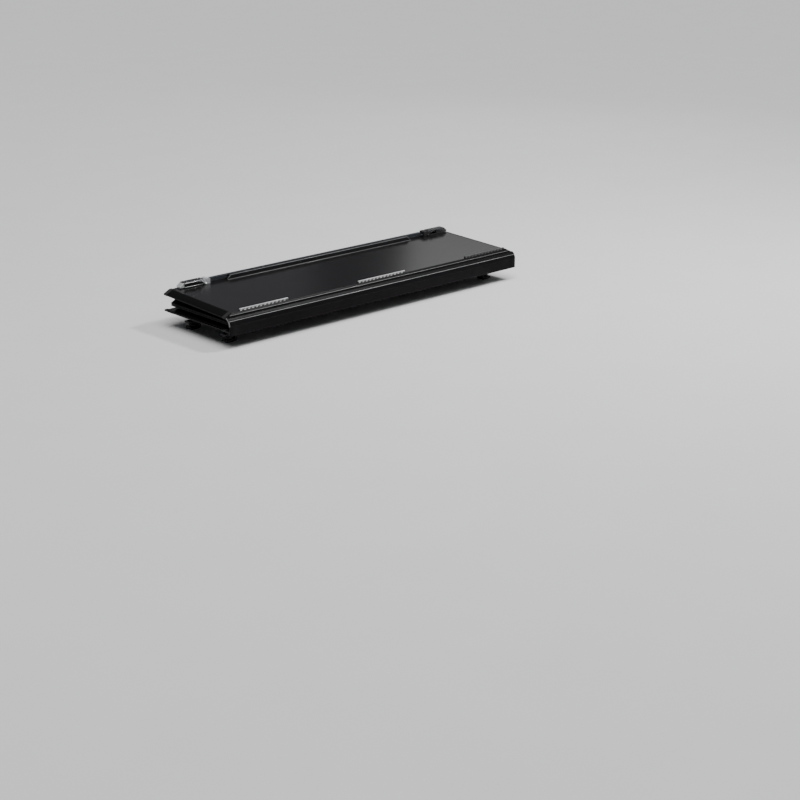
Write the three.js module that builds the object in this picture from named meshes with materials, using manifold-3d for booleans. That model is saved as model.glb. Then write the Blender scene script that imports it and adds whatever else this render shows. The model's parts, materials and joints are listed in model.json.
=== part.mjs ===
// A four-panel folding pickup bed cover, folded up on its clamped front panel.
// The panels wrap as a spiral, so the stack from bottom to top is first, third, fourth and second panel.
// Millimetres. +X is the truck's right, +Y points to the cab and +Z is up. The origin ends up under the
// middle of the finished model, on the surface that the four bed clamps stand on.
import * as THREE from 'three';
import Module from 'manifold-3d';
import { mergeVertices } from 'three/addons/utils/BufferGeometryUtils.js';

const wasm = await Module();
wasm.setup();

// ---------- driving dimensions ----------
const GAP = 0.3; // between pieces that touch
const WIDTH = 1770; // outer skins, side to side
const FACE_WIDTH = 1710; // inner faces, which are narrower, so that the side rails are bevelled
const DEPTH = 460; // first and second panel, front to back
const INNER_DEPTH = 432; // third and fourth panel
const THICK = 22; // one panel
const SKIN = 1; // one aluminium face sheet
const EDGE = 6; // upright part of a panel's edge, beside the outer skin
const RAIL = 30; // width of a frame rail, under the inner face
const LIP = 6; // visible edge of a side rail
const HALF = WIDTH / 2;
const FACE = FACE_WIDTH / 2;

const THIRD_Z = THICK + 3; // underside of the third panel, which rests on the bumpers
const FOURTH_Z = THIRD_Z + THICK + 2;
const INNER_Y = 4; // rear edge of the third and fourth panels
const SET_BACK = 20; // they are narrower than the others by this at each side
const TILT = THREE.MathUtils.degToRad(2); // the second panel rests on the fourth panel's latches
const SECOND = [0, 0.4, 74]; // rear edge of the second panel's outer skin

const BAND = 3; // thickness of a flexible hinge band
const WIDE_BAND = { half: HALF + 4, radius: 38, y: 5, z: 46, low: 19, end: 63 };

const CLAMP = {
  x: 802, // screw axis
  leg: [770, 778],
  foot: [-62, -50.3],
  wheel: [-50, -40.2],
  jaw: [-32, -24],
  width: 40,
  rows: [95, 365], // along the first panel
  stud: 5,
};
// Top latches: the left one stands further in from the edge than the right one.
const LATCH = { nose: { left: 820, right: 853 }, deep: 38, tall: 26, length: 165 };

// ---------- materials ----------
const finish = (color, roughness, metalness) => () =>
  new THREE.MeshStandardMaterial({ color, roughness, metalness });
const skinFinish = finish(0x17171a, 0.45, 0.2);
const railFinish = finish(0x1b1b1d, 0.5, 0.4);
const coreFinish = finish(0xd9d4c4, 0.9, 0);
const rubberFinish = finish(0x0c0c0d, 0.8, 0);
const bandFinish = finish(0x0e0d10, 0.55, 0);
const barFinish = finish(0x3c4046, 0.4, 0.6);
const padFinish = finish(0xa9a9ad, 0.6, 0);
const steelFinish = finish(0xb9bcc0, 0.3, 1);
const housingFinish = finish(0x1d1e20, 0.5, 0.3);
const castFinish = finish(0x2a2b2d, 0.6, 0.5);

// ---------- helpers ----------
const ALONG_X = new THREE.Matrix4().makeBasis(
  new THREE.Vector3(0, 1, 0),
  new THREE.Vector3(0, 0, 1),
  new THREE.Vector3(1, 0, 0),
);
const ALONG_Y = new THREE.Matrix4().makeBasis(
  new THREE.Vector3(0, 0, 1),
  new THREE.Vector3(1, 0, 0),
  new THREE.Vector3(0, 1, 0),
);

// A prism on a list of (a, b) points, with round holes given as (a, b, radius).
function prism(points, depth, matrix, holes = []) {
  const corners = points.map(([a, b]) => new THREE.Vector2(a, b));
  if (THREE.ShapeUtils.isClockWise(corners)) corners.reverse();
  const shape = new THREE.Shape(corners);
  for (const [a, b, radius] of holes) {
    shape.holes.push(new THREE.Path().absarc(a, b, radius, 0, 2 * Math.PI, true));
  }
  const geometry = new THREE.ExtrudeGeometry(shape, { depth, bevelEnabled: false, curveSegments: 10 });
  if (matrix) geometry.applyMatrix4(matrix);
  return geometry;
}

// A bar whose (y, z) outline runs across the cover from x0 to x1.
function acrossBar(points, x0, x1) {
  return prism(points, x1 - x0, ALONG_X).translate(x0, 0, 0);
}

// A bar whose (x, z) outline runs along the truck from y0 to y1.
function alongBar(points, y0, y1, holes = []) {
  const turned = points.map(([x, z]) => [z, x]);
  const turnedHoles = holes.map(([x, z, radius]) => [z, x, radius]);
  return prism(turned, y1 - y0, ALONG_Y, turnedHoles).translate(0, y0, 0);
}

function block([x0, x1], [y0, y1], [z0, z1]) {
  const geometry = new THREE.BoxGeometry(x1 - x0, y1 - y0, z1 - z0);
  return geometry.translate((x0 + x1) / 2, (y0 + y1) / 2, (z0 + z1) / 2);
}

// A round bar along X, Y or Z, centred on (x, y, z).
function rod(axis, radius, length, [x, y, z], sides = 20) {
  const geometry = new THREE.CylinderGeometry(radius, radius, length, sides);
  if (axis === 'x') geometry.rotateZ(Math.PI / 2);
  if (axis === 'z') geometry.rotateX(Math.PI / 2);
  return geometry.translate(x, y, z);
}

function solid(geometry) {
  const bare = geometry.clone();
  bare.deleteAttribute('normal');
  bare.deleteAttribute('uv');
  const merged = mergeVertices(bare, 1e-4);
  return new wasm.Manifold(
    new wasm.Mesh({
      numProp: 3,
      vertProperties: new Float32Array(merged.attributes.position.array),
      triVerts: new Uint32Array(merged.index.array),
    }),
  );
}

function surface(manifold) {
  const mesh = manifold.getMesh();
  const geometry = new THREE.BufferGeometry();
  geometry.setAttribute('position', new THREE.BufferAttribute(mesh.vertProperties, 3));
  geometry.setIndex(new THREE.BufferAttribute(mesh.triVerts, 1));
  geometry.computeVertexNormals();
  return geometry;
}

const join = (...parts) => surface(parts.map(solid).reduce((a, b) => a.add(b)));
const cut = (base, ...tools) => surface(tools.map(solid).reduce((a, b) => a.subtract(b), solid(base)));
const clip = (base, tool) => surface(solid(base).intersect(solid(tool)));

function add(group, name, geometry, material) {
  const mesh = new THREE.Mesh(geometry, material());
  mesh.name = name;
  group.add(mesh);
  return mesh;
}

const SIDES = [
  ['left', -1],
  ['right', 1],
];
// The stretch from a to b out from the middle, on the side given.
const span = (side, a, b) => (side > 0 ? [a, b] : [-b, -a]);
const mirror = (side, points) => points.map(([x, ...rest]) => [side * x, ...rest]);

// ---------- panels ----------
// Panel outlines are drawn skin down, with the inner face up, and turned over where the skin is up.
const turn = (skinUp, points) => (skinUp ? points.map(([a, z]) => [a, THICK - z]) : points);

// A frame rail, with a shelf that both face sheets lie on. Its edge leans in from outer to face.
function railOutline(outer, face, inward) {
  return [
    [outer, 0],
    [outer, EDGE],
    [face, THICK],
    [face + inward * LIP, THICK],
    [face + inward * LIP, THICK - SKIN - GAP],
    [face + inward * RAIL, THICK - SKIN - GAP],
    [face + inward * RAIL, SKIN + GAP],
    [outer + inward * LIP, SKIN + GAP],
    [outer + inward * LIP, 0],
  ];
}

// A whole panel seen from the rear, with its two bevelled edges.
function panelSection(half, face) {
  const right = [
    [half, 0],
    [half, EDGE],
    [face, THICK],
  ];
  return [...right, ...right.map(([x, z]) => [-x, z]).reverse()];
}

// The rail behind a panel. The second panel's ends in a slope and a groove above the band's edge, and
// the first panel's is deep enough for the band to lie flat on its rear face.
const SLOPED_RAIL = [
  [0, 0],
  [0, THICK],
  [-8.5, THICK - 7.5],
  [-9.4, THICK - 8.6],
  [-9.4, 0],
];
const bandFace = WIDE_BAND.y - WIDE_BAND.radius + BAND + GAP;
const DEEP_RAIL = [
  [0, 0],
  [0, THICK],
  [bandFace + 3, THICK],
  [bandFace, THICK - 3],
  [bandFace, 1],
  [bandFace + 1, 0],
];

function framedPanel(group, prefix, endRail, hingeRail, skinUp) {
  const inside = FACE - RAIL - GAP;
  const endFace = DEPTH - 1.5;
  const sheets = [
    ['outer_skin', HALF - LIP - GAP, DEPTH - LIP - GAP, 0],
    ['inner_skin', FACE - LIP - GAP, endFace - LIP - GAP, THICK - SKIN],
  ];
  for (const [name, half, front, level] of sheets) {
    const low = skinUp ? THICK - SKIN - level : level;
    add(group, prefix + name, block([-half, half], [GAP, front], [low, low + SKIN]), skinFinish);
  }
  const core = block([-inside, inside], [GAP, endFace - RAIL - GAP], [SKIN + GAP, THICK - SKIN - GAP]);
  add(group, prefix + 'core', core, coreFinish);
  for (const [word, side] of SIDES) {
    const outline = turn(skinUp, railOutline(side * HALF, side * FACE, -side));
    add(group, prefix + 'side_rail_' + word, alongBar(outline, GAP, DEPTH), railFinish);
  }
  const ending = turn(skinUp, railOutline(DEPTH, endFace, -1));
  add(group, prefix + endRail, acrossBar(ending, -inside, inside), railFinish);
  const section = alongBar(turn(skinUp, panelSection(HALF, FACE)), -60, 1);
  const rail = clip(acrossBar(turn(skinUp, hingeRail), -HALF - 1, HALF + 1), section);
  add(group, prefix + 'hinge_rail', rail, railFinish);
}

// The third and fourth panels are plainer: a bonded slab with a rail along its cab side.
function slabPanel(group, prefix, railName, z, skinUp) {
  const section = turn(skinUp, panelSection(HALF - SET_BACK, FACE - SET_BACK));
  const slabEnd = INNER_Y + INNER_DEPTH - RAIL;
  const slab = alongBar(section, INNER_Y, slabEnd - GAP).translate(0, 0, z);
  add(group, prefix + 'slab', slab, skinFinish);
  const rail = alongBar(section, slabEnd, slabEnd + RAIL).translate(0, 0, z);
  add(group, prefix + railName, rail, railFinish);
}

// ---------- flexible hinge bands ----------
// A bent strip from one hinge line to another. It stands out by bulge in the direction out along Y.
function bandOutline([y0, z0], [y1, z1], out, bulge, steps, fullness = 2.5) {
  const point = (t, offset) => {
    const angle = (t - 0.5) * Math.PI;
    const reach = Math.pow(Math.cos(angle), 2 / fullness) * (bulge + offset);
    const rise = Math.sign(angle) * Math.pow(Math.abs(Math.sin(angle)), 2 / fullness);
    const halfRise = (z1 - z0) / 2 + offset;
    return [y0 + (y1 - y0) * t + out * reach, (z0 + z1) / 2 + rise * halfRise];
  };
  const outer = [];
  const inner = [];
  for (let i = 0; i <= steps; i++) {
    outer.push(point(i / steps, BAND / 2));
    inner.push(point(i / steps, -BAND / 2));
  }
  return [...outer, ...inner.reverse()];
}

// The wide band stands straight up behind the stack and then bends forward in a round arc.
function wideBandOutline({ radius, y, z, low, end }) {
  const steps = 14;
  const side = (offset) => {
    const reach = radius - offset;
    const points = [[y - reach, low]];
    for (let i = 0; i <= steps; i++) {
      const angle = THREE.MathUtils.degToRad((end * i) / steps);
      points.push([y - reach * Math.cos(angle), z + reach * Math.sin(angle)]);
    }
    return points;
  };
  return [...side(0), ...side(BAND).reverse()];
}

// ---------- bed clamps ----------
// A hanging bracket, a knurled wheel nut that stands on its foot, and a jaw whose stud the wheel drives.
function clamp(group, word, side, y) {
  const [legIn, legOut] = CLAMP.leg;
  const [footLow, footHigh] = CLAMP.foot;
  const plate = -6;
  const half = CLAMP.width / 2;
  const bracket = mirror(side, [
    [legIn - 32, -GAP],
    [legIn - 32, plate],
    [legIn, plate],
    [legIn, footLow + 6],
    [legIn + 6, footLow],
    [826, footLow],
    [826, footHigh],
    [legOut, footHigh],
    [legOut, plate],
    [808, plate],
    [808, -GAP],
  ]);
  const screw = [side * CLAMP.x, y, 0];
  const [x, , z] = screw;
  const clearance = CLAMP.stud + GAP;
  const body = cut(
    alongBar(bracket, y - half, y + half),
    rod('z', clearance, 30, [x, y, (footLow + footHigh) / 2]),
  );
  add(group, 'clamp_bracket_' + word, body, castFinish);

  const lobes = 24;
  const rim = [];
  for (let i = 0; i < 2 * lobes; i++) {
    const angle = (i * Math.PI) / lobes;
    const radius = i % 2 ? 16 : 17;
    rim.push([x + radius * Math.cos(angle), y + radius * Math.sin(angle)]);
  }
  const [wheelLow, wheelHigh] = CLAMP.wheel;
  const wheel = prism(rim, wheelHigh - wheelLow, null, [[x, y, clearance]]).translate(0, 0, wheelLow);
  add(group, 'clamp_wheel_' + word, wheel, castFinish);

  const [jawLow, jawHigh] = CLAMP.jaw;
  const studEnd = -54;
  const plateX = span(side, legOut + 1, 834);
  const jaw = join(
    block(plateX, [y - 17, y + 17], [jawLow, jawHigh]),
    rod('z', CLAMP.stud, jawHigh - 2 - studEnd, [x, y, z + (jawHigh - 2 + studEnd) / 2]),
  );
  add(group, 'clamp_jaw_' + word, jaw, castFinish);
}

// ---------- latches ----------
// A channel that is open to the rear, with a sliding bolt and a spring in it, on a panel at height z.
function latch(group, prefix, word, side, { y, z, deep, tall, nose, wall, lip, length }) {
  const middle = y + deep / 2;
  const chamfer = tall / 8;
  const outline = [
    [y, z],
    [y, z + lip],
    [y + wall, z + lip],
    [y + wall, z + wall],
    [y + deep - wall, z + wall],
    [y + deep - wall, z + tall - wall],
    [y + wall, z + tall - wall],
    [y + wall, z + tall - lip],
    [y, z + tall - lip],
    [y, z + tall - chamfer],
    [y + chamfer, z + tall],
    [y + deep - chamfer, z + tall],
    [y + deep, z + tall - chamfer],
    [y + deep, z],
  ];
  const housing = acrossBar(outline, ...span(side, nose - length, nose - 22));
  add(group, prefix + '_housing_' + word, housing, housingFinish);

  const slack = 0.6;
  const low = z + wall + slack;
  const high = z + tall - wall - slack;
  const tail = nose - 75;
  const boltOutline = mirror(side, [
    [tail, low],
    [nose - 3, low],
    [nose, low + 3],
    [nose, low + 5],
    [nose - 17, high],
    [tail, high],
  ]);
  const bolt = alongBar(boltOutline, y + wall + slack, y + deep - wall - slack);
  add(group, prefix + '_bolt_' + word, bolt, steelFinish);

  const springEnd = nose - length + 2;
  const springLength = tail - 1 - springEnd;
  const springX = side * (springEnd + springLength / 2);
  const spring = rod('x', tall * 0.25, springLength, [springX, middle, z + tall / 2], 12);
  add(group, prefix + '_spring_' + word, spring, steelFinish);
}

// The bracket at the inner end of a top latch, and the lever that pulls its bolt.
function pullLever(group, word, side, nose, y, z) {
  const inner = nose - LATCH.length;
  const pivot = [inner + 27, z + 5];
  const blockOutline = mirror(side, [
    [inner, z],
    [inner, z + LATCH.tall - 4],
    [inner + 4, z + LATCH.tall],
    [inner + 24, z + LATCH.tall],
    [inner + 33, z + LATCH.tall - 8],
    [inner + 33, z],
  ]);
  const bore = [side * pivot[0], pivot[1], 3];
  const bracket = alongBar(blockOutline, y, y + LATCH.deep - 4, [bore]);
  add(group, 'latch_bracket_' + word, bracket, steelFinish);

  const tip = [pivot[0] + 26, z + LATCH.tall];
  const along = Math.atan2(tip[1] - pivot[1], tip[0] - pivot[0]);
  const reach = Math.hypot(tip[0] - pivot[0], tip[1] - pivot[1]);
  const outline = [];
  for (let i = 0; i <= 8; i++) {
    const angle = along + Math.PI / 2 + (i * Math.PI) / 8;
    outline.push([pivot[0] + 5 * Math.cos(angle), pivot[1] + 5 * Math.sin(angle)]);
  }
  for (const [forward, across] of [[reach, -3.2], [reach + 2.5, 0], [reach, 3.2]]) {
    outline.push([
      pivot[0] + forward * Math.cos(along) - across * Math.sin(along),
      pivot[1] + forward * Math.sin(along) + across * Math.cos(along),
    ]);
  }
  const plate = alongBar(mirror(side, outline), y - 4, y - 1);
  const pin = rod('y', 2.6, 12, [side * pivot[0], y + 3, pivot[1]], 14);
  add(group, 'latch_lever_' + word, join(plate, pin), steelFinish);
}

// ---------- the whole cover ----------
const model = new THREE.Group();

// First panel, skin up, clamped to the bed.
framedPanel(model, 'p1_', 'cab_rail', DEEP_RAIL, true);
for (const [word, side] of SIDES) {
  const sealX = span(side, 815, 851);
  add(model, 'side_seal_' + word, block(sealX, [2, DEPTH - 2], [-4, -GAP]), rubberFinish);
  CLAMP.rows.forEach((y, i) => clamp(model, word + '_' + ['rear', 'front'][i], side, y));
}
const restStrip = block([-700, 700], [210, 250], [THICK + GAP, THIRD_Z - GAP]);
add(model, 'rest_strip', restStrip, rubberFinish);
const bulkheadY = [DEPTH - 26, DEPTH - 2];
add(model, 'bulkhead_seal', block([-812, 812], bulkheadY, [-4, -GAP]), rubberFinish);

// Third and fourth panels, folded face to face.
slabPanel(model, 'p3_', 'cab_rail', THIRD_Z, true);
slabPanel(model, 'p4_', 'tail_rail', FOURTH_Z, false);
const tailLatch = {
  y: INNER_Y + INNER_DEPTH - 36,
  z: FOURTH_Z + THICK + GAP,
  deep: 34,
  tall: 16,
  nose: FACE - 25,
  wall: 3,
  lip: 4,
  length: 128,
};
for (const [word, side] of SIDES) latch(model, 'tail_latch', word, side, tailLatch);

// Second panel, skin down, lying tilted on top. It is drawn level and then turned.
const second = new THREE.Group();
framedPanel(second, 'p2_', 'tail_rail', SLOPED_RAIL, false);
const top = THICK + GAP;
const bar = { y: DEPTH - 20, tall: 18, gap: 3 };
const leftBlock = LATCH.nose.left - LATCH.length;
const rightBlock = LATCH.nose.right - LATCH.length;
const barX = [-leftBlock + bar.gap, rightBlock - bar.gap];
add(second, 'tail_bar', block(barX, [bar.y, DEPTH - 2], [top, top + bar.tall]), barFinish);

const cover = { x: [-560, 590], y: bar.y - GAP - 22, deep: 22, tall: 20, wall: 2, slope: 19, foot: 7 };
const coverEnd = cover.y + cover.deep;
const roof = top + cover.tall;
const channel = acrossBar(
  [
    [cover.y - cover.foot, top],
    [cover.y - cover.foot, top + cover.wall],
    [cover.y, top + cover.wall],
    [cover.y, roof - 1.5],
    [cover.y + 1.5, roof],
    [coverEnd, roof],
    [coverEnd, top],
    [coverEnd - cover.wall, top],
    [coverEnd - cover.wall, roof - cover.wall],
    [cover.y + cover.wall, roof - cover.wall],
    [cover.y + cover.wall, top],
  ],
  ...cover.x,
);
const slopes = [-1, 1].map((side, i) => {
  const end = cover.x[i];
  const slope = [
    [end + side, top + cover.wall],
    [end + side, roof + 2],
    [end - side * cover.slope, roof + 2],
  ];
  return alongBar(slope, cover.y - cover.foot - 1, coverEnd + 1);
});
add(second, 'cable_cover', cut(channel, ...slopes), housingFinish);
const cableX = [-leftBlock + GAP, rightBlock - GAP];
const cableLength = cableX[1] - cableX[0];
const cableAt = [(cableX[0] + cableX[1]) / 2, cover.y + 11, top + 9];
add(second, 'release_cable', rod('x', 1.5, cableLength, cableAt, 8), steelFinish);

const pads = [['left', -804, -532], ['middle', -118, 176], ['right', 574, 846]];
for (const [word, x0, x1] of pads) {
  const outline = [[1, top], [1, top + 6], [3, top + 8], [11, top + 8], [13, top + 6], [13, top]];
  add(second, 'edge_pad_' + word, acrossBar(outline, x0, x1), padFinish);
}

const sideLatch = { y: DEPTH - 40, z: top, deep: LATCH.deep, tall: LATCH.tall, wall: 3, lip: 6, length: 130 };
for (const [word, side] of SIDES) {
  const nose = LATCH.nose[word];
  latch(second, 'side_latch', word, side, { ...sideLatch, nose });
  pullLever(second, word, side, nose, sideLatch.y, sideLatch.z);
}
second.position.set(...SECOND);
second.rotation.x = TILT;
model.add(second);

// Flexible hinges: the wide one behind the stack, one in front of it, and a small one inside the wide one.
const wideHalf = WIDE_BAND.half;
add(model, 'hinge_band_wide', acrossBar(wideBandOutline(WIDE_BAND), -wideHalf, wideHalf), bandFinish);
const cabLine = INNER_Y + INNER_DEPTH;
const bandHalf = FACE - 40;
const front = bandOutline([cabLine + 3, THIRD_Z + 11], [cabLine + 27, FOURTH_Z + 53], 1, 12, 10);
add(model, 'hinge_band_front', acrossBar(front, -bandHalf, bandHalf), bandFinish);
const inner = bandOutline([INNER_Y - 2, THIRD_Z + 11], [INNER_Y - 2, FOURTH_Z + 11], -1, 13, 8, 2);
add(model, 'hinge_band_inner', acrossBar(inner, -bandHalf, bandHalf), bandFinish);
const tailSeal = block([-620, 620], [tailLatch.y, tailLatch.y + 20], [tailLatch.z, tailLatch.z + 12]);
add(model, 'tail_seal', tailSeal, rubberFinish);

// Centre the finished model over the origin and stand its clamps on z = 0.
const box = new THREE.Box3().setFromObject(model);
const centre = box.getCenter(new THREE.Vector3());
model.position.set(-centre.x, -centre.y, -box.min.z);
const group = new THREE.Group();
group.add(model);

export default group;
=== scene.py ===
import json
import math

import bmesh
import bpy
from mathutils import Matrix, Vector

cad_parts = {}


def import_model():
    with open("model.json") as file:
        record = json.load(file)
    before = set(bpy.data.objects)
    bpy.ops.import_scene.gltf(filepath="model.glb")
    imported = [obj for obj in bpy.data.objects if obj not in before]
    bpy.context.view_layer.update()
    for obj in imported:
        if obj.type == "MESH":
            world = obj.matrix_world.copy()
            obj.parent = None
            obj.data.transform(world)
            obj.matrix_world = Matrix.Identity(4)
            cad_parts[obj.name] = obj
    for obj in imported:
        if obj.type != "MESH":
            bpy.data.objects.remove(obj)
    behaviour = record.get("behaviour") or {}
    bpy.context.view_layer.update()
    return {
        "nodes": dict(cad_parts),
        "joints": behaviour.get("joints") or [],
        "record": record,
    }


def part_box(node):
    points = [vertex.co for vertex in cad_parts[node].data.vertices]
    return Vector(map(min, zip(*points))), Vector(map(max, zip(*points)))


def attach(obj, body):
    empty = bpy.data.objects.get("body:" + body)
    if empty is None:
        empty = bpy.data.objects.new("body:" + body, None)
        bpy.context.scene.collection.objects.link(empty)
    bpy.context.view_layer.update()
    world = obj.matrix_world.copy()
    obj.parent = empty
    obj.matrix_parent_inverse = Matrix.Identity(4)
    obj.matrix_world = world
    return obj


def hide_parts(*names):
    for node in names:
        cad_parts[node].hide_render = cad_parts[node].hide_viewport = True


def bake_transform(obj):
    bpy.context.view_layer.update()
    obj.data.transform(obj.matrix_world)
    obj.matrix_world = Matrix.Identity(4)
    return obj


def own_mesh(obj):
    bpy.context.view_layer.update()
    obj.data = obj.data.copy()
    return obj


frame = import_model()
NODES = frame["nodes"]
JOINTS = {j["name"]: j for j in frame["joints"]}
SIDES = {"left": -1, "right": 1}

# Places worked out from the frame, in metres. The first panel is fixed to the truck and the second is on top.
# REAR is the rear edge of the first panel and RAIL_TOP its underside. FIRST and SECOND place a panel's own
# coordinates: x across, y from its rear edge and z from its underside.
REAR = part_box("p1_hinge_rail")[1].y
RAIL_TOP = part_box("p1_inner_skin")[0].z
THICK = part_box("p1_hinge_rail")[1].z - RAIL_TOP
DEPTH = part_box("p1_cab_rail")[1].y - REAR
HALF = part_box("p1_side_rail_right")[1].x
BEVEL_INSET = 0.030
FACE = HALF - BEVEL_INSET
BAND_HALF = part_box("hinge_band_wide")[1].x
LEVER_AXIS = JOINTS["lever_left"]["axis"]
TILT = math.atan2(LEVER_AXIS[2], LEVER_AXIS[1])
SECOND_SHIFT, SECOND_RISE = 0.0004, 0.074
SECOND_AT = Vector((0, REAR + SECOND_SHIFT, RAIL_TOP + SECOND_RISE))
SECOND = Matrix.Translation(SECOND_AT) @ Matrix.Rotation(TILT, 4, "X")
FIRST = Matrix.Translation((0, REAR, RAIL_TOP))

# What stands on the second panel's upper face, which is TOP in its own coordinates.
GAP = 0.0003
TOP = THICK + GAP
BAR_DEEP, BAR_TALL = 0.020, 0.018
COVER_DEEP, COVER_TALL, COVER_SLOPE, COVER_FOOT = 0.022, 0.020, 0.019, 0.007
LATCH_DEEP, LATCH_TALL = 0.040, 0.026
COVER_REAR = DEPTH - BAR_DEEP - GAP - COVER_DEEP


# ---------- materials ----------
BRUSHED = (1, 30, 30)


def principled(name, metallic, roughness, specular=0.5):
    """A new material, its nodes and links, and its shader."""
    m = bpy.data.materials.new(name)
    m.use_nodes = True
    shader = m.node_tree.nodes["Principled BSDF"]
    shader.inputs["Metallic"].default_value = metallic
    shader.inputs["Roughness"].default_value = roughness
    shader.inputs["Specular IOR Level"].default_value = specular
    return m, m.node_tree.nodes, m.node_tree.links, shader


def noise(nodes, links, scale, detail, stretch=(1, 1, 1)):
    """Noise in the object's own coordinates, finer along an axis that is stretched."""
    place = nodes.new("ShaderNodeTexCoord")
    mapping = nodes.new("ShaderNodeMapping")
    mapping.inputs["Scale"].default_value = stretch
    links.new(place.outputs["Object"], mapping.inputs["Vector"])
    texture = nodes.new("ShaderNodeTexNoise")
    texture.inputs["Scale"].default_value = scale
    texture.inputs["Detail"].default_value = detail
    texture.inputs["Roughness"].default_value = 0.55
    links.new(mapping.outputs["Vector"], texture.inputs["Vector"])
    return texture.outputs["Fac"]


def ramp(nodes, links, source, stops):
    """Colours at (place, colour) stops along a source."""
    node = nodes.new("ShaderNodeValToRGB")
    elements = node.color_ramp.elements
    while len(elements) < len(stops):
        elements.new(0.5)
    for element, (place, color) in zip(elements, stops):
        element.position = place
        element.color = (*color, 1)
    links.new(source, node.inputs["Fac"])
    return node.outputs["Color"]


def spread(nodes, links, source, low, high):
    """Turns the middle of a noise's range into values from low to high."""
    node = nodes.new("ShaderNodeMapRange")
    node.inputs["From Min"].default_value = 0.3
    node.inputs["From Max"].default_value = 0.7
    node.inputs["To Min"].default_value = low
    node.inputs["To Max"].default_value = high
    links.new(source, node.inputs["Value"])
    return node.outputs["Result"]


def bump(nodes, links, shader, layers):
    """Several bumps in a row, each given as (height, distance in metres, strength)."""
    below = None
    for height, distance, strength in layers:
        node = nodes.new("ShaderNodeBump")
        node.inputs["Distance"].default_value = distance
        node.inputs["Strength"].default_value = strength
        links.new(height, node.inputs["Height"])
        if below is not None:
            links.new(below, node.inputs["Normal"])
        below = node.outputs["Normal"]
    links.new(below, shader.inputs["Normal"])


def mix(nodes, links, factor, a, b):
    """From a to b by factor. Each is a fixed colour or a socket."""
    node = nodes.new("ShaderNodeMix")
    node.data_type = "RGBA"
    links.new(factor, node.inputs["Factor"])
    for socket, value in ((node.inputs[6], a), (node.inputs[7], b)):
        if isinstance(value, tuple):
            socket.default_value = (*value, 1)
        else:
            links.new(value, socket)
    return node.outputs[2]


def powder_coat(name, dark, light, rough, peel, specular=0.4):
    """Fine orange peel, faint cloudy patches of tone, and gloss that varies a little."""
    m, nodes, links, shader = principled(name, 0, rough[0], specular)
    cloud = noise(nodes, links, 7, 5)
    links.new(ramp(nodes, links, cloud, [(0.32, dark), (0.7, light)]), shader.inputs["Base Color"])
    links.new(spread(nodes, links, noise(nodes, links, 18, 6), *rough), shader.inputs["Roughness"])
    fine = noise(nodes, links, 1400, 2)
    wide = noise(nodes, links, 260, 2)
    bump(nodes, links, shader, [(wide, 0.0002, peel * 0.5), (fine, 0.00006, peel)])
    return m


def extrusion(name, dark, light, along, specular):
    """Coated aluminium with die lines along its length."""
    m, nodes, links, shader = principled(name, 0, 0.34, specular)
    stretch = (1, 60, 60) if along == "x" else (60, 1, 60)
    lines = noise(nodes, links, 26, 4, stretch)
    patch = noise(nodes, links, 9, 4)
    base = ramp(nodes, links, lines, [(0.35, dark), (0.68, light)])
    worn = ramp(nodes, links, patch, [(0.5, (0, 0, 0)), (0.8, (0.25, 0.25, 0.25))])
    links.new(mix(nodes, links, worn, base, light), shader.inputs["Base Color"])
    links.new(spread(nodes, links, lines, 0.34, 0.5), shader.inputs["Roughness"])
    bump(nodes, links, shader, [(lines, 0.0001, 0.25), (noise(nodes, links, 1200, 2), 0.00004, 0.2)])
    return m


def rubber(name, dark, light):
    """Matt rubber with dusty patches."""
    m, nodes, links, shader = principled(name, 0, 0.75)
    patch = noise(nodes, links, 30, 6)
    links.new(ramp(nodes, links, patch, [(0.35, dark), (0.7, light)]), shader.inputs["Base Color"])
    links.new(spread(nodes, links, patch, 0.62, 0.85), shader.inputs["Roughness"])
    bump(nodes, links, shader, [(noise(nodes, links, 700, 4), 0.00015, 0.4)])
    return m


def vinyl(name, dark, light):
    """Smooth satin sheet with a fine leather grain and slow waves."""
    m, nodes, links, shader = principled(name, 0, 0.5, 0.08)
    cloud = noise(nodes, links, 5, 4)
    links.new(ramp(nodes, links, cloud, [(0.3, dark), (0.72, light)]), shader.inputs["Base Color"])
    links.new(spread(nodes, links, noise(nodes, links, 14, 5), 0.42, 0.58), shader.inputs["Roughness"])
    grain = nodes.new("ShaderNodeTexVoronoi")
    grain.inputs["Scale"].default_value = 900
    place = nodes.new("ShaderNodeTexCoord")
    links.new(place.outputs["Object"], grain.inputs["Vector"])
    slow = noise(nodes, links, 9, 2, (1, 3, 3))
    bump(nodes, links, shader, [(slow, 0.002, 0.25), (grain.outputs["Distance"], 0.00012, 0.45)])
    return m


def steel(name, color):
    """Zinc-plated steel, brushed across the cover, with darker spots where the plating has dulled."""
    m, nodes, links, shader = principled(name, 0.55, 0.24)
    brushed = noise(nodes, links, 90, 5, BRUSHED)
    spots = noise(nodes, links, 260, 4)
    dull = tuple(c * 0.8 for c in color)
    tone = ramp(nodes, links, spots, [(0.35, dull), (0.65, color)])
    links.new(tone, shader.inputs["Base Color"])
    links.new(spread(nodes, links, brushed, 0.24, 0.42), shader.inputs["Roughness"])
    bump(nodes, links, shader, [(brushed, 0.00008, 0.3), (spots, 0.0001, 0.15)])
    return m


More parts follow.
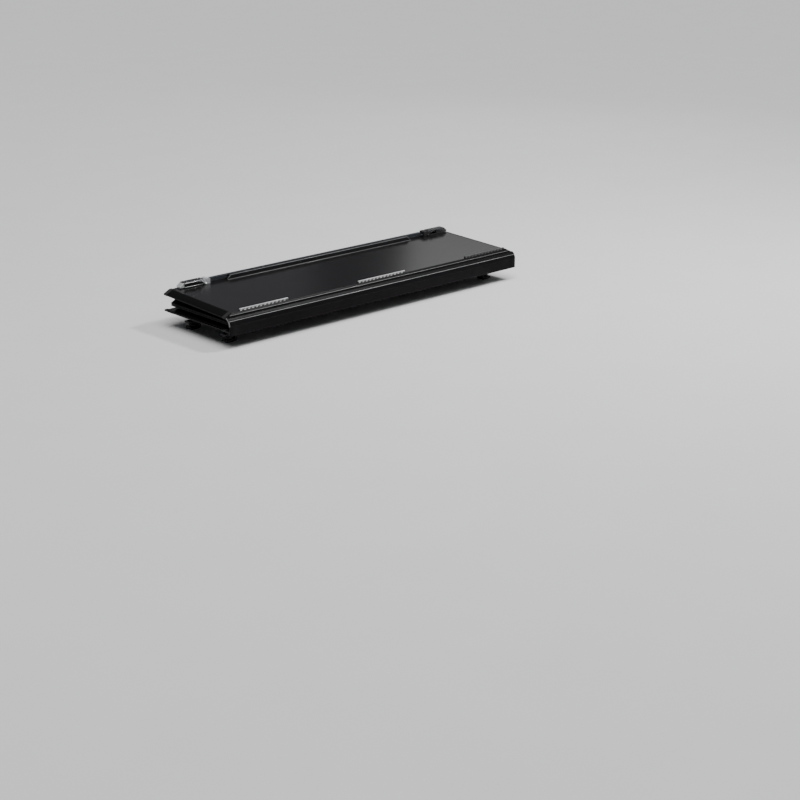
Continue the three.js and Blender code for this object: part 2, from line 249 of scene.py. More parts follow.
def bolt_steel_painted_shade(name, color, dark, inside):
    """A latch bolt: its own bright zinc further out across the cover than inside, and painted shade where it
    lies in its housing.
    """
    m, nodes, links, shader = principled(name, 0.55, 0.32)
    place = nodes.new("ShaderNodeTexCoord")
    split = nodes.new("ShaderNodeSeparateXYZ")
    links.new(place.outputs["Object"], split.inputs["Vector"])
    reach = nodes.new("ShaderNodeMath")
    reach.operation = "ABSOLUTE"
    links.new(split.outputs["X"], reach.inputs[0])
    edge = nodes.new("ShaderNodeMapRange")
    edge.inputs["From Min"].default_value = inside - 0.003
    edge.inputs["From Max"].default_value = inside + 0.002
    links.new(reach.outputs["Value"], edge.inputs["Value"])
    brushed = noise(nodes, links, 90, 5, BRUSHED)
    bright = ramp(nodes, links, brushed, [(0.3, tuple(c * 0.85 for c in color)), (0.7, color)])
    # dark is the painted shade on the part of the bolt inside its housing.
    links.new(mix(nodes, links, edge.outputs["Result"], dark, bright), shader.inputs["Base Color"])
    links.new(spread(nodes, links, brushed, 0.26, 0.4), shader.inputs["Roughness"])
    bump(nodes, links, shader, [(brushed, 0.00008, 0.3)])
    return m


def coated_steel(name, dark, light, metal):
    """Dark coated pressed steel, rubbed bright in thin patches."""
    m, nodes, links, shader = principled(name, 0.3, 0.42)
    patch = noise(nodes, links, 45, 6)
    base = ramp(nodes, links, noise(nodes, links, 160, 4), [(0.35, dark), (0.7, light)])
    rub = ramp(nodes, links, patch, [(0.62, (0, 0, 0)), (0.74, (0.5, 0.5, 0.5))])
    links.new(mix(nodes, links, rub, base, metal), shader.inputs["Base Color"])
    links.new(spread(nodes, links, patch, 0.34, 0.5), shader.inputs["Roughness"])
    bump(nodes, links, shader, [(noise(nodes, links, 900, 3), 0.00008, 0.35)])
    return m


def moulded(name, dark, light):
    """Plain moulded plastic with a fine grain."""
    m, nodes, links, shader = principled(name, 0, 0.42)
    patch = noise(nodes, links, 40, 5)
    links.new(ramp(nodes, links, patch, [(0.33, dark), (0.68, light)]), shader.inputs["Base Color"])
    links.new(spread(nodes, links, patch, 0.42, 0.6), shader.inputs["Roughness"])
    bump(nodes, links, shader, [(noise(nodes, links, 1600, 2), 0.00005, 0.5)])
    return m


def cast(name, dark, light):
    """Painted casting with a coarse skin."""
    m, nodes, links, shader = principled(name, 0.25, 0.55)
    patch = noise(nodes, links, 60, 6)
    links.new(ramp(nodes, links, patch, [(0.35, dark), (0.7, light)]), shader.inputs["Base Color"])
    links.new(spread(nodes, links, patch, 0.5, 0.7), shader.inputs["Roughness"])
    bump(nodes, links, shader, [(noise(nodes, links, 420, 4), 0.0003, 0.5)])
    return m


def foam(name):
    """Pale foam with open cells."""
    m, nodes, links, shader = principled(name, 0, 0.9)
    cells = nodes.new("ShaderNodeTexVoronoi")
    cells.inputs["Scale"].default_value = 650
    place = nodes.new("ShaderNodeTexCoord")
    links.new(place.outputs["Object"], cells.inputs["Vector"])
    tones = [(0.1, (0.42, 0.38, 0.27)), (0.8, (0.68, 0.64, 0.52))]
    links.new(ramp(nodes, links, cells.outputs["Distance"], tones), shader.inputs["Base Color"])
    bump(nodes, links, shader, [(cells.outputs["Distance"], 0.0006, 0.6)])
    return m


BRIGHT_ZINC = (0.86, 0.87, 0.88)
RAIL_TONES = (0.004, 0.004, 0.0042), (0.008, 0.008, 0.0084)
# The left bolt's painted shade ends this far from the middle of the cover, at the end of its housing, where
# its bright zinc begins.
HOUSING_END = 0.798

MATERIALS = {
    "skin": powder_coat(
        "skin_powder_coat", (0.0078, 0.0076, 0.008), (0.0092, 0.009, 0.0095), (0.215, 0.225), 0.1),
    # The inner panels' coat, darker and duller than the skin: a painted shade for panels deep in the stack.
    "slab": powder_coat(
        "slab_coat_painted_shade", (0.004, 0.004, 0.0042), (0.006, 0.006, 0.0062), (0.5, 0.6), 0.35, 0.1),
    "rail": extrusion("rail_across", *RAIL_TONES, "x", 0.1),
    "rail_along": extrusion("rail_along", *RAIL_TONES, "y", 0.07),
    "core": foam("foam_core"),
    "seal": rubber("seal_rubber", (0.008, 0.008, 0.0085), (0.016, 0.016, 0.0165)),
    "band": vinyl("band_vinyl", (0.003, 0.0026, 0.0032), (0.0054, 0.0048, 0.0057)),
    # Dark grey coat tinted blue: the grey is the bar's own, the blue a painted reflection of the blue cab.
    "bar": powder_coat(
        "bar_coat_painted_reflection", (0.035, 0.039, 0.046), (0.046, 0.051, 0.06), (0.36, 0.46), 0.25, 0.3),
    "bolt_left": bolt_steel_painted_shade("bolt_steel_painted_shade", BRIGHT_ZINC, (0.03, 0.028, 0.026), HOUSING_END),
    # A pale coat for thin beads, a painted highlight along edges that catch the light.
    "edge": powder_coat(
        "edge_painted_highlight", (0.26, 0.262, 0.266), (0.36, 0.363, 0.368), (0.22, 0.3), 0.2, 0.8),
    # Mid grey for the band's bound ends: partly their own colour, partly a painted highlight.
    "binding": powder_coat("band_binding_painted_highlight", (0.1, 0.1, 0.1), (0.16, 0.16, 0.16), (0.5, 0.6), 0.2),
    "pad": moulded("pad_plastic", (0.42, 0.42, 0.43), (0.6, 0.6, 0.61)),
    "pad_dark": moulded("pad_plastic_dark", (0.05, 0.05, 0.052), (0.085, 0.085, 0.088)),
    "steel": steel("zinc_steel", BRIGHT_ZINC),
    # A darkened copy of the same zinc steel: painted shade for steel parts that lie in shade.
    "steel_painted_shade": steel("zinc_in_painted_shade", (0.055, 0.055, 0.058)),
    "housing": coated_steel("coated_steel", (0.012, 0.012, 0.013), (0.022, 0.022, 0.024), (0.2, 0.2, 0.21)),
    "clamp": cast("cast_black", (0.014, 0.014, 0.015), (0.03, 0.03, 0.031)),
}


# ---------- mesh helpers ----------
def finish_piece(name, bm, body, slot, material=None, node=None, bevel=0.0):
    """Makes an object from bm, with its material, its body and the CAD node that it replaces."""
    bmesh.ops.recalc_face_normals(bm, faces=bm.faces)
    mesh = bpy.data.meshes.new(name)
    bm.to_mesh(mesh)
    bm.free()
    for polygon in mesh.polygons:
        polygon.use_smooth = True
    mesh.materials.append(MATERIALS[material or slot])
    piece = bpy.data.objects.new(name, mesh)
    bpy.context.scene.collection.objects.link(piece)
    if bevel:
        soften(piece, bevel)
    if body:
        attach(piece, body)
    if node:
        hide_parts(node)
    return piece


def soften(piece, width, segments=2):
    """Rounds the hard edges of a piece with modifiers, so that its own mesh stays as it is."""
    weld = piece.modifiers.new("weld", "WELD")
    weld.merge_threshold = 0.00001
    edge = piece.modifiers.new("edge", "BEVEL")
    edge.width = width
    edge.segments = segments
    edge.limit_method = "ANGLE"
    edge.angle_limit = math.radians(30)
    edge.harden_normals = True


def prism(bm, outline, x0, x1, matrix=None):
    """A bar whose (y, z) outline runs across the cover."""
    rings = [[bm.verts.new((x, y, z)) for y, z in outline] for x in (x0, x1)]
    join_rings(bm, rings)
    for ring in rings:
        bm.faces.new(ring)
    if matrix:
        bmesh.ops.transform(bm, matrix=matrix, verts=[v for ring in rings for v in ring])


def join_rings(bm, rings, closed=True):
    """Faces between rings of the same number of points. Closed rings join their last point to their first."""
    for a, b in zip(rings, rings[1:]):
        count = len(a)
        for i in range(count if closed else count - 1):
            j = (i + 1) % count
            bm.faces.new((a[i], a[j], b[j], b[i]))


def lathe(bm, at, axis, profile, sides):
    """A turned piece: (radius, height) points from the axis out and back to the axis."""
    to_axis = Vector(axis).to_track_quat("Z", "Y").to_matrix().to_4x4()
    place = Matrix.Translation(at) @ to_axis
    rings = []
    for radius, height in profile:
        if radius == 0:
            rings.append([bm.verts.new(place @ Vector((0, 0, height)))])
            continue
        ring = []
        for i in range(sides):
            angle = 2 * math.pi * i / sides
            spoke = Vector((radius * math.cos(angle), radius * math.sin(angle), height))
            ring.append(bm.verts.new(place @ spoke))
        rings.append(ring)
    for a, b in zip(rings, rings[1:]):
        for i in range(sides):
            j = (i + 1) % sides
            if len(a) == 1:
                bm.faces.new((a[0], b[i], b[j]))
            elif len(b) == 1:
                bm.faces.new((a[j], a[i], b[0]))
            else:
                bm.faces.new((a[i], b[i], b[j], a[j]))


def tube(bm, points, radius, sides=8):
    """A round bar along a list of points, with flat ends."""
    rings = []
    count = len(points)
    for i, point in enumerate(points):
        ahead = points[min(i + 1, count - 1)] - points[max(i - 1, 0)]
        turn = ahead.to_track_quat("Z", "Y").to_matrix()
        ring = []
        for k in range(sides):
            angle = 2 * math.pi * k / sides
            spoke = Vector((radius * math.cos(angle), radius * math.sin(angle), 0))
            ring.append(bm.verts.new(point + turn @ spoke))
        rings.append(ring)
    join_rings(bm, rings)
    bm.faces.new(rings[0])
    bm.faces.new(rings[-1])


def pan_head(bm, at, axis, radius, height):
    """A screw with a domed head and a six-sided socket."""
    lathe(bm, at, axis, [
        (0, -height * 0.5),
        (radius * 0.6, -height * 0.5),
        (radius * 0.6, 0),
        (radius, 0),
        (radius * 0.97, height * 0.45),
        (radius * 0.8, height * 0.85),
        (radius * 0.5, height),
        (radius * 0.44, height),
        (radius * 0.44, height * 0.35),
        (0, height * 0.3),
    ], sides=24)


def rivet(bm, at, axis, radius):
    """A round-headed blind rivet with a hollow in its middle."""
    lathe(bm, at, axis, [
        (0, -radius * 0.3),
        (radius, -radius * 0.3),
        (radius, radius * 0.1),
        (radius * 0.8, radius * 0.4),
        (radius * 0.35, radius * 0.5),
        (radius * 0.3, radius * 0.25),
        (0, radius * 0.25),
    ], sides=16)


# ---------- the CAD nodes ----------
# Widths of the soft edges by slot, and for the bonded slabs and everything else.
SLAB_EDGE, OTHER_EDGE = 0.0007, 0.0005
EDGES = {"skin": 0.0003, "core": 0.0004, "steel": 0.0005, "housing": 0.0006, "clamp": 0.0008, "seal": 0.0006}


def dress_nodes():
    """Gives each CAD node its material and soft edges. Their own meshes stay as they are."""
    slots = {part["node"]: part["material_slot"] for part in frame["record"]["subparts"]}
    for name, node in NODES.items():
        mesh = node.data
        imported = mesh.attributes.get("custom_normal")
        if imported:
            mesh.attributes.remove(imported)
        for polygon in mesh.polygons:
            polygon.use_smooth = True
        slot = slots[name]
        material = "rail_along" if "side_rail" in name else slot
        # Steel on the right and in the latch housings takes the darkened zinc, a painted shade.
        if slot == "steel" and (name.endswith("right") or "housing" in name):
            material = "steel_painted_shade"
        # The left bolt gets painted shade inside its housing.
        if name == "side_latch_bolt_left":
            material = "bolt_left"
        # The inner slabs take the darkened coat, a painted shade.
        if "slab" in name:
            material = "slab"
        mesh.materials.clear()
        mesh.materials.append(MATERIALS[material])
        soften(node, SLAB_EDGE if "slab" in name else EDGES.get(slot, OTHER_EDGE))


# ---------- flexible bands ----------
# The flexible bands' thickness, and the wide one's arc: its radius and centre, the angle in degrees where it
# ends, and the height of its lower hem.
BAND = 0.003
ARC = {"radius": 0.038, "y": 0.005, "z": 0.046, "end": 67, "low": 0.003}


def arc_point(angle, offset):
    """A point on the wide band's arc: degrees up from its rear face, and metres in from its outside."""
    reach = ARC["radius"] - offset
    a = math.radians(angle)
    return FIRST @ Vector((0, ARC["y"] - reach * math.cos(a), ARC["z"] + reach * math.sin(a)))


def lower_path():
    """Up the rear face, from the hem to the start of the arc, as (point, outward direction) pairs."""
    steps = 12
    path = []
    for i in range(steps + 1):
        z = ARC["low"] + (ARC["z"] - ARC["low"]) * i / steps
        path.append((FIRST @ Vector((0, ARC["y"] - ARC["radius"] + BAND / 2, z)), Vector((0, -1, 0))))
    return path


def upper_path():
    """The arc over the top, in the same form."""
    steps = 16
    path = []
    for i in range(steps + 1):
        angle = ARC["end"] * i / steps
        a = math.radians(angle)
        path.append((arc_point(angle, BAND / 2), Vector((0, -math.cos(a), math.sin(a)))))
    return path


def across(half, hem):
    """Places along X: even steps, closer together at the two hems."""
    steps = 72
    inner = half - hem
    places = [-inner + 2 * inner * i / steps for i in range(steps + 1)]
    edge = [inner + hem * f for f in (0.06, 0.5, 0.9, 0.975, 1.0)]
    return [-x for x in reversed(edge)] + places + edge


def band_sheet(name, path, half, body, node, hem=0.03):
    """A sheet along a path, a little thicker over the folded hem at both ends."""
    fold, rounding, rounded = 0.0007, 0.0009, 0.001
    bm = bmesh.new()
    places = across(half, hem)
    grids = []
    for face in (1, -1):
        grid = []
        for x in places:
            beyond = abs(x) - (half - hem)
            raised = fold if beyond > 0.001 else 0.0
            if abs(x) > half - rounded:
                raised -= rounding
            offset = face * (BAND / 2 + raised)
            row = []
            for point, out in path:
                row.append(bm.verts.new((x, point.y + out.y * offset, point.z + out.z * offset)))
            grid.append(row)
        grids.append(grid)
    outer, inner = grids
    last = len(path) - 1
    for grid in grids:
        join_rings(bm, grid, closed=False)
    for i in range(len(places) - 1):
        for j in (0, last):
            bm.faces.new((outer[i][j], outer[i + 1][j], inner[i + 1][j], inner[i][j]))
    for i in (0, len(places) - 1):
        for j in range(last):
            bm.faces.new((outer[i][j], outer[i][j + 1], inner[i][j + 1], inner[i][j]))
    return finish_piece(name, bm, body, "band", node=node)


def bent_path(start, end, out, bulge, fullness):
    """The curve of both small bands: a superellipse between two lines. out is its side along Y."""
    steps = 16
    path = []
    for i in range(steps + 1):
        t = i / steps
        angle = (t - 0.5) * math.pi
        reach = math.cos(angle) ** (2 / fullness) * bulge if 0 < i < steps else 0
        rise = math.copysign(abs(math.sin(angle)) ** (2 / fullness), angle)
        y = start[0] + (end[0] - start[0]) * t + out * reach
        z = (start[1] + end[1]) / 2 + rise * (end[1] - start[1]) / 2
        path.append(FIRST @ Vector((0, y, z)))
    facing = []
    for i, point in enumerate(path):
        ahead = path[min(i + 1, steps)] - path[max(i - 1, 0)]
        outward = Vector((0, out * abs(ahead.z), -out * ahead.y * math.copysign(1, ahead.z)))
        facing.append((point, outward.normalized()))
    return facing


def bands():
    """The wide band, in two parts, one up the rear face and one over the arc at its top, and the two hidden
    bands.
    """
    lower = lower_path()
    piece = band_sheet("hinge_band_lower", lower, BAND_HALF, None, "hinge_band_wide")
    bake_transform(piece)

    upper = upper_path()
    piece = band_sheet("hinge_band_upper", upper, BAND_HALF, None, "hinge_band_wide")
    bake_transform(piece)

    # The hidden bands join the second and third panels, and the third and fourth.
    inner_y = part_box("p3_slab")[0].y - REAR
    cab_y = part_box("p3_cab_rail")[1].y - REAR
    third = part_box("p3_slab")[0].z - RAIL_TOP
    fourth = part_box("p4_slab")[0].z - RAIL_TOP
    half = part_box("hinge_band_front")[1].x
    middle = 0.011
    small = {
        "hinge_band_front": (
            (cab_y + 0.003, third + middle), (cab_y + 0.027, fourth + 0.053), 1, 0.012, 2.5),
        "hinge_band_inner": (
            (inner_y - 0.002, third + middle), (inner_y - 0.002, fourth + middle), -1, 0.013, 2),
    }
    for node, route in small.items():
        path = bent_path(*route)
        piece = band_sheet(node + "_sheet", path, half, "folded_panels", node, hem=0.012)


def bindings():
    """A bound edge at both ends of the wide band's upper part, wrapped round it along its path. Its mid grey
    is partly the edge's own lighter colour and partly a painted highlight.
    """
    inside, outside, thick = 0.004, 0.0006, 0.0007
    half = BAND / 2 + thick
    for word, side in SIDES.items():
        x0 = side * (BAND_HALF - inside)
        x1 = side * (BAND_HALF + outside)
        bm = bmesh.new()
        rings = []
        for point, out in upper_path():
            ring = []
            for x, offset in ((x0, half), (x1, half), (x1, -half), (x0, -half)):
                ring.append(bm.verts.new((x, point.y + out.y * offset, point.z + out.z * offset)))
            rings.append(ring)
        join_rings(bm, rings)
        bm.faces.new(rings[0])
        bm.faces.new(rings[-1])
        piece = finish_piece("band_binding_painted_highlight_" + word, bm, None, "band", "binding")
        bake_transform(piece)
        soften(piece, 0.0003)


def on_second(*points):
    """Points of the second panel's own coordinates, in the frame."""
    return [SECOND @ Vector(point) for point in points]


def cover_edges():
    """Rolled edges along the cable cover: its upper rear edge, its two sloped ends and its foot, in a pale
    coat that paints their highlight.
    """
    low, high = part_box("cable_cover")
    crest = TOP + COVER_TALL - 0.0006
    toe = TOP + 0.0025
    bm = bmesh.new()
    route = on_second(
        (low.x + 0.001, COVER_REAR + 0.0004, toe),
        (low.x + COVER_SLOPE, COVER_REAR + 0.0006, crest),
        (high.x - COVER_SLOPE, COVER_REAR + 0.0006, crest),
        (high.x - 0.001, COVER_REAR + 0.0004, toe),
    )
    for a, b in zip(route, route[1:]):
        tube(bm, [a, b], 0.0011)
    foot_y, foot_z = COVER_REAR - COVER_FOOT, TOP + 0.0012
    tube(bm, on_second((low.x, foot_y, foot_z), (high.x, foot_y, foot_z)), 0.0009)
    finish_piece("cover_edges", bm, "folded_panels", "housing", "edge")


def painted_highlight_beads():
    """Painted highlights: bright steel along the left latch's lips, and pale beads on the second panel's
    sloped rail and the wide band's retaining strip.
    """
    low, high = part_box("side_latch_housing_left")
    y = DEPTH - LATCH_DEEP + 0.0002
    bm = bmesh.new()
    for z in (TOP + 0.0223, TOP + 0.0048):
        tube(bm, on_second((low.x, y, z), (high.x, y, z)), 0.001)
    finish_piece("latch_lips_left", bm, "folded_panels", "steel")

    corner = (-0.0091, THICK - 0.0082)
    end = HALF - 0.017
    bm = bmesh.new()
    tube(bm, on_second((-end, *corner), (end, *corner)), 0.0009)
    finish_piece("rail_edge_bead", bm, "folded_panels", "rail", "edge")

    crest = arc_point(34.3, -0.0019)
    end = BAND_HALF - 0.0015
    bm = bmesh.new()
    tube(bm, [Vector((-end, crest.y, crest.z)), Vector((end, crest.y, crest.z))], 0.0012)
    finish_piece("retainer_edge_bead", bm, "wide_hinge", "rail", "edge")


def retainer():
    """The ribbed strip that presses the wide band's upper edge into its rail."""
    # Its section, as degrees along the band's arc and metres out from the band.
    outer = [
        (57, 0.0002), (57, 0.0018), (55.5, 0.0026), (53, 0.0022), (50, 0.0017), (44, 0.0016), (39, 0.0017),
        (36.2, 0.0024), (34.6, 0.0028), (33, 0.0024), (32, 0.0012), (32, 0.0002),
    ]
    inner = [(32, -0.0001), (57, -0.0001)]
    section = [arc_point(angle, -height) for angle, height in outer + inner]
    half = BAND_HALF - 0.001
    bm = bmesh.new()
    prism(bm, [(p.y, p.z) for p in section], -half, half)
    finish_piece("band_retainer", bm, "wide_hinge", "rail", bevel=0.0003)


# ---------- pads, seals, springs and cable ----------
def pads():
    """Three pads: a dark base with a smooth ridge along the top and slanted ribs on the rear face."""
    pitch, rib, lean, margin = 0.022, 0.009, 0.006, 0.001
    base = [(0.0024, 0), (0.0024, 0.0042), (0.0054, 0.0066), (0.0112, 0.007), (0.013, 0.0056), (0.013, 0)]
    ridge = [(0.0052, 0.0062), (0.0050, 0.0080), (0.0060, 0.0086), (0.0100, 0.0086), (0.0108, 0.0070)]
    foot, head = (0.0011, TOP + 0.0004), (0.0050, TOP + 0.0076)
    behind, beneath = 0.002, 0.0006
    # The right pad's darker colours are painted shade; the left and middle pads keep light ribs on a dark
    # base.
    shades = {"left": ("pad", "pad_dark"), "middle": ("pad", "pad_dark"), "right": ("pad_dark", "seal")}
    for word, (light, dark) in shades.items():
        node = "edge_pad_" + word
        low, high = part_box(node)
        bm = bmesh.new()
        prism(bm, [(y, TOP + z) for y, z in base], low.x, high.x, SECOND)
        finish_piece("edge_pad_base_" + word, bm, "folded_panels", "pad", dark, node, bevel=0.0003)
        bm = bmesh.new()
        prism(bm, [(y, TOP + z) for y, z in ridge], low.x + margin, high.x - margin, SECOND)
        for i in range(int((high.x - low.x - rib - lean) / pitch) + 1):
            x = low.x + margin + i * pitch
            corners = [(x, *foot), (x + rib, *foot), (x + rib + lean, *head), (x + lean, *head)]
            front = [bm.verts.new(p) for p in on_second(*corners)]
            shifted = [(a, b + behind, c - beneath) for a, b, c in corners]
            back = [bm.verts.new(p) for p in on_second(*shifted)]
            join_rings(bm, [front, back])
            bm.faces.new(front)
            bm.faces.new(back)
        finish_piece("edge_pad_ribs_" + word, bm, "folded_panels", "pad", light, node, bevel=0.0003)


def bulb_seal(name, node, axis, bulbs):
    """A rubber seal along an axis: a flat top, and round lips that bulge down to what it closes against."""
    low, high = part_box(node)
    length = 0 if axis == "x" else 1
    wide = 1 - length
    width = high[wide] - low[wide]
    tall = high.z - low.z
    root = high.z - tall * 0.3
    steps = 8
    outline = [(low[wide], high.z), (low[wide], root)]
    for k in range(bulbs):
        start = low[wide] + width * (k + 0.06) / bulbs
        span = width / bulbs * 0.88
        for i in range(steps + 1):
            a = math.pi * i / steps
            outline.append((start + span * (1 - math.cos(a)) / 2, root - tall * 0.7 * math.sin(a) ** 0.7))
    outline += [(high[wide], root), (high[wide], high.z)]
    bm = bmesh.new()
    rings = []
    for place in (low[length], high[length]):
        ring = []
        for a, z in outline:
            ring.append(bm.verts.new((place, a, z) if length == 0 else (a, place, z)))
        rings.append(ring)
    join_rings(bm, rings)
    for ring in rings:
        bm.faces.new(ring)
    finish_piece(name, bm, "front_panel", "seal", node=node, bevel=0.0002)


def seals():
    """The side seals, with three lips each, and the bulkhead seal, with two."""
    for word in SIDES:
        bulb_seal("side_seal_lips_" + word, "side_seal_" + word, "y", 3)
    bulb_seal("bulkhead_seal_lips", "bulkhead_seal", "x", 2)


def spring(name, node, turns, wire):
    """A coil spring in the place of its CAD cylinder."""
    low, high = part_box(node)
    middle = (low + high) / 2
    radius = (high.y - low.y) / 2 * 0.98 - wire
    length = high.x - low.x
    steps = turns * 16
    points = []
    for i in range(steps + 1):
        t = i / steps
        angle = 2 * math.pi * turns * t
        x = low.x + wire + (length - 2 * wire) * t
        points.append(Vector((x, middle.y + radius * math.cos(angle), middle.z + radius * math.sin(angle))))
    bm = bmesh.new()
    tube(bm, points, wire, 7)
    piece = finish_piece(name, bm, "folded_panels", "steel", node=node)
    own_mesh(piece)


def springs():
    """The springs of the four latches. The turns and the wire differ by size of latch."""
    for word in SIDES:
        for latch, turns, wire in (("side", 11, 0.0011), ("tail", 12, 0.0008)):
            node = f"{latch}_latch_spring_{word}"
            spring(f"{latch}_spring_coil_{word}", node, turns, wire)


def cable():
    """The release cable: one core and six wires twisted round it, with a ferrule at each end."""
    low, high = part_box("release_cable")
    middle = (low + high) / 2
    wire, strands, pitch = 0.0005, 6, 0.03
    length = high.x - low.x
    turns = length / pitch
    steps = int(turns * 8)
    bm = bmesh.new()
    tube(bm, [Vector((low.x, middle.y, middle.z)), Vector((high.x, middle.y, middle.z))], wire, 6)
    for strand in range(strands):
        points = []
        for i in range(steps + 1):
            angle = 2 * math.pi * (turns * i / steps + strand / strands)
            x = low.x + length * i / steps
            offset = Vector((0, math.cos(angle), math.sin(angle))) * (2 * wire)
            points.append(Vector((x, middle.y, middle.z)) + offset)
        tube(bm, points, wire, 5)
    finish_piece("release_cable_twisted", bm, "folded_panels", "steel", "housing", "release_cable")

    ferrule = [
        (0, 0), (0.0032, 0), (0.0032, 0.011), (0.0026, 0.013), (0.0022, 0.013), (0.002, 0.0125), (0, 0.0125),
    ]
    bm = bmesh.new()
    for x, way in ((low.x, 1), (high.x, -1)):
        lathe(bm, (x + way * 0.001, middle.y, middle.z), (way, 0, 0), ferrule, sides=12)
    # Ferrules in darkened zinc, a painted shade.
    finish_piece("cable_ferrules", bm, "folded_panels", "steel", "steel_painted_shade", bevel=0.0002)


# ---------- fasteners and small fittings ----------
def evenly(low, high, margin, count):
    """Places from low to high, the outer ones a margin in from the ends."""
    return [low + margin + (high - low - 2 * margin) * i / (count - 1) for i in range(count)]


def bar_and_cover_fasteners():
    """The screws down through the tail bar and the rivets of the cable cover's foot."""
    up = SECOND.to_3x3() @ Vector((0, 0, 1))
    low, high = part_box("tail_bar")
    bm = bmesh.new()
    for x in evenly(low.x, high.x, 0.05, 7):
        pan_head(bm, SECOND @ Vector((x, DEPTH - 0.011, TOP + BAR_TALL)), up, 0.0042, 0.0022)
    # Screws in darkened zinc, a painted shade.
    finish_piece("bar_screws", bm, "folded_panels", "steel", "steel_painted_shade")

    low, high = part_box("cable_cover")
    bm = bmesh.new()
    for x in evenly(low.x, high.x, 0.03, 9):
        rivet(bm, SECOND @ Vector((x, COVER_REAR - COVER_FOOT / 2, TOP + 0.002)), up, 0.0019)
    # Rivets in darkened zinc, a painted shade.
    finish_piece("cover_rivets", bm, "folded_panels", "steel", "steel_painted_shade")


def latch_fasteners():
    """Rivets, pivot heads and screws of the latches. Those of the left upper latch are bright zinc; the
    others are the same zinc darkened as painted shade.
    """
    up = SECOND.to_3x3() @ Vector((0, 0, 1))
    back = SECOND.to_3x3() @ Vector((0, -1, 0))
    inset = 0.016
    crown = TOP + LATCH_TALL
    lever_face, head_lift = SECOND @ Vector((0, DEPTH - 0.0441, 0)), 0.0008
    for word, side in SIDES.items():
        # The right latch's steel is darkened as painted shade.
        metal = "steel_painted_shade" if word == "right" else "steel"
        low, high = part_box("side_latch_housing_" + word)
        bm = bmesh.new()
        for x in (low.x + inset, high.x - inset):
            for y in (DEPTH - 0.032, DEPTH - 0.012):
                rivet(bm, SECOND @ Vector((x, y, crown)), up, 0.0024)
        finish_piece("latch_rivets_" + word, bm, "folded_panels", "steel", metal)

        bm = bmesh.new()
        pivot = JOINTS["lever_" + word]["pos_m"]
        pan_head(bm, Vector((pivot[0], lever_face.y - head_lift, pivot[2])), back, 0.0046, 0.0018)
        finish_piece("lever_pivot_head_" + word, bm, "pull_lever_" + word, "steel", metal)

        low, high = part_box("latch_bracket_" + word)
        x = (low.x + high.x) / 2 - side * 0.006
        bm = bmesh.new()
        for y in (DEPTH - 0.031, DEPTH - 0.014):
            pan_head(bm, SECOND @ Vector((x, y, crown)), up, 0.0036, 0.002)
        finish_piece("bracket_screws_" + word, bm, "folded_panels", "steel", metal)

        low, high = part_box("tail_latch_housing_" + word)
        bm = bmesh.new()
        for x in (low.x + inset, high.x - inset):
            rivet(bm, (x, (low.y + high.y) / 2, high.z), (0, 0, 1), 0.0016)
        finish_piece("tail_latch_rivets_" + word, bm, "folded_panels", "steel", "steel_painted_shade")


def clamp_fasteners():
    """Two bolts up through each clamp bracket's top flange into the front panel."""
    reach, spacing, flange = 0.752, 0.011, 0.0057
    for word, side in SIDES.items():
        for row in ("rear", "front"):
            name = word + "_" + row
            low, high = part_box("clamp_bracket_" + name)
            y = (low.y + high.y) / 2
            bm = bmesh.new()
            for offset in (-spacing, spacing):
                pan_head(bm, (side * reach, y + offset, high.z - flange), (0, 0, -1), 0.005, 0.003)
            # Bolts in darkened zinc, a painted shade.
            finish_piece("clamp_bolts_" + name, bm, "front_panel", "steel", "steel_painted_shade")


def rail_outline(outer, face, proud):
    """The (x, z) section of a cap over a panel's bevelled edge, which rises from 6 mm at the outer edge."""
    reach, lip, sill, clear = 0.016, 0.012, 0.006, 0.00005
    return [
        (outer - reach, -proud), (outer + proud * 0.6, -proud), (outer + proud, 0.0005),
        (outer + proud, sill + proud * 0.5), (face + proud * 0.5, THICK + proud), (face - lip, THICK + proud),
        (face - lip, THICK + clear), (face, THICK + clear), (outer + clear, sill),
        (outer + clear, -clear), (outer - reach, -clear),
    ]


def corner_caps():
    """Moulded caps over the ends of the side rails of the first and second panels."""
    length = 0.022
    flip = Matrix.Translation((0, 0, THICK)) @ Matrix.Scale(-1, 4, (0, 0, 1))
    outline = rail_outline(HALF, FACE, 0.0009)
    panels = {"first": (FIRST @ flip, "front_panel"), "second": (SECOND, "folded_panels")}
    for panel, (place, body) in panels.items():
        for word, side in SIDES.items():
            bm = bmesh.new()
            for y0 in (DEPTH - length, 0.0008):
                rings = []
                for y in (y0, y0 + length):
                    rings.append([bm.verts.new(place @ Vector((side * x, y, z))) for x, z in outline])
                join_rings(bm, rings)
                for ring in rings:
                    bm.faces.new(ring)
            finish_piece("corner_caps_" + panel + "_" + word, bm, body, "rail", "seal", bevel=0.0003)


# ---------- camera, floor and lights ----------
def camera():
    """The photograph's view, worked out from the pickup bed in it."""
    data = bpy.data.cameras.new("camera")
    data.sensor_width = 36
    data.lens = 74.7
    data.shift_y = 0.0225
    data.clip_end = 200
    cam = bpy.data.objects.new("camera", data)
    bpy.context.scene.collection.objects.link(cam)
    cam.location = (-4.993, REAR - 5.60, RAIL_TOP + 2.093)
    view = Vector((0.6361, 0.6941, -0.3371))
    cam.rotation_euler = view.to_track_quat("-Z", "Y").to_euler()
    bpy.context.scene.camera = cam


def from_angles(azimuth, elevation, distance):
    """A place seen from the object. Azimuth 0 is at +X and 90 at +Y."""
    flat = math.cos(math.radians(elevation)) * distance
    return (
        flat * math.cos(math.radians(azimuth)),
        flat * math.sin(math.radians(azimuth)),
        math.sin(math.radians(elevation)) * distance,
    )


def area(name, location, size, power, color=(1, 1, 1)):
    """A soft light that faces the object."""
    data = bpy.data.lights.new(name, "AREA")
    data.shape = "RECTANGLE"
    data.size, data.size_y = size
    data.energy = power
    data.color = color
    lamp = bpy.data.objects.new(name, data)
    lamp.location = location
    lamp.rotation_euler = (-lamp.location).to_track_quat("-Z", "Y").to_euler()
    bpy.context.scene.collection.objects.link(lamp)


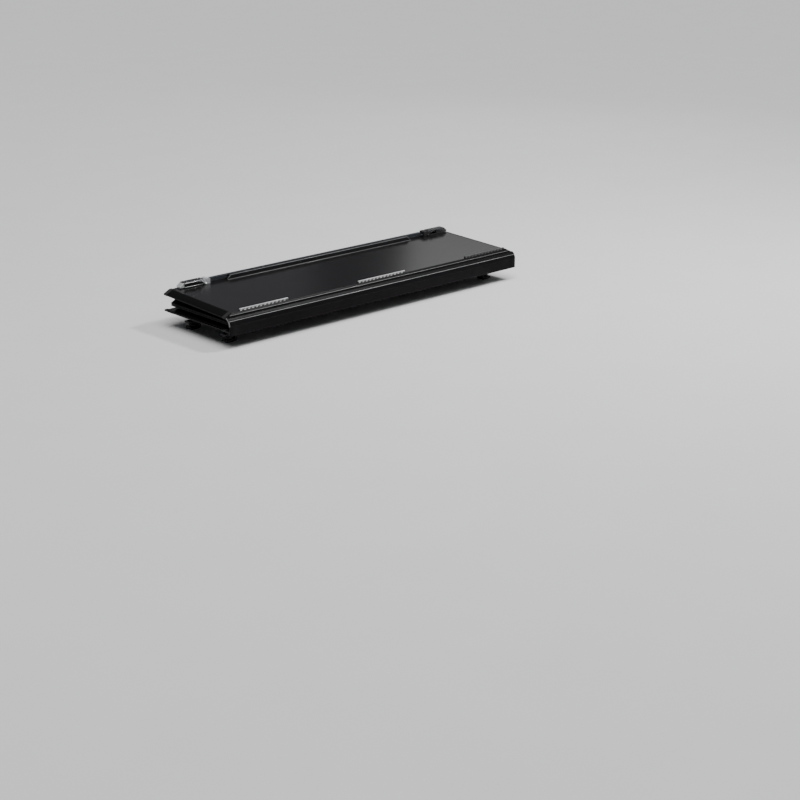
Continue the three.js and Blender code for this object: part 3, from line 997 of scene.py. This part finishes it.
def floor():
    """A plain pale floor."""
    far = 60
    mesh = bpy.data.meshes.new("floor")
    mesh.from_pydata([(-far, -far, 0), (far, -far, 0), (far, far, 0), (-far, far, 0)], [], [(0, 1, 2, 3)])
    piece = bpy.data.objects.new("floor", mesh)
    bpy.context.scene.collection.objects.link(piece)
    m, nodes, links, shader = principled("floor_paper", 0, 0.9)
    tones = [(0.3, (0.8, 0.8, 0.8)), (0.7, (0.82, 0.82, 0.82))]
    links.new(ramp(nodes, links, noise(nodes, links, 3, 4), tones), shader.inputs["Base Color"])
    mesh.materials.append(m)


def world():
    """A pale backdrop for the camera, and dim surroundings for what the object reflects."""
    studio = bpy.data.worlds.new("studio")
    studio.use_nodes = True
    nodes, links = studio.node_tree.nodes, studio.node_tree.links
    surroundings = nodes["Background"]
    surroundings.inputs["Color"].default_value = (0.9, 0.93, 1, 1)
    surroundings.inputs["Strength"].default_value = 0.06
    backdrop = nodes.new("ShaderNodeBackground")
    backdrop.inputs["Color"].default_value = (0.93, 0.935, 0.95, 1)
    backdrop.inputs["Strength"].default_value = 0.72
    rays = nodes.new("ShaderNodeLightPath")
    either = nodes.new("ShaderNodeMixShader")
    links.new(rays.outputs["Is Camera Ray"], either.inputs["Fac"])
    links.new(surroundings.outputs["Background"], either.inputs[1])
    links.new(backdrop.outputs["Background"], either.inputs[2])
    links.new(either.outputs["Shader"], nodes["World Output"].inputs["Surface"])
    bpy.context.scene.world = studio


def lights():
    """A broad light from above, and panels that the upper face and the rear edge reflect to the camera."""
    sun = bpy.data.lights.new("sky_panel", "SUN")
    sun.energy = 3.0
    sun.angle = math.radians(50)
    lamp = bpy.data.objects.new("sky_panel", sun)
    lamp.rotation_euler = Vector((0.2, 0.35, -1)).to_track_quat("-Z", "Y").to_euler()
    bpy.context.scene.collection.objects.link(lamp)
    area("right_panel", from_angles(32, 24, 6), (2.4, 2.0), 11)
    area("left_panel", from_angles(61.5, 23, 7), (2.4, 1.6), 1.8, (0.95, 0.93, 1))
    area("edge_light", (2.05, -1.97, 3.83), (0.6, 0.6), 120)
    area("right_rear", (3.7, -2.45, 1.8), (0.8, 0.8), 9)


camera()
dress_nodes()
bands()
bindings()
retainer()
painted_highlight_beads()
cover_edges()
pads()
seals()
springs()
cable()
bar_and_cover_fasteners()
latch_fasteners()
clamp_fasteners()
corner_caps()
floor()
world()
lights()
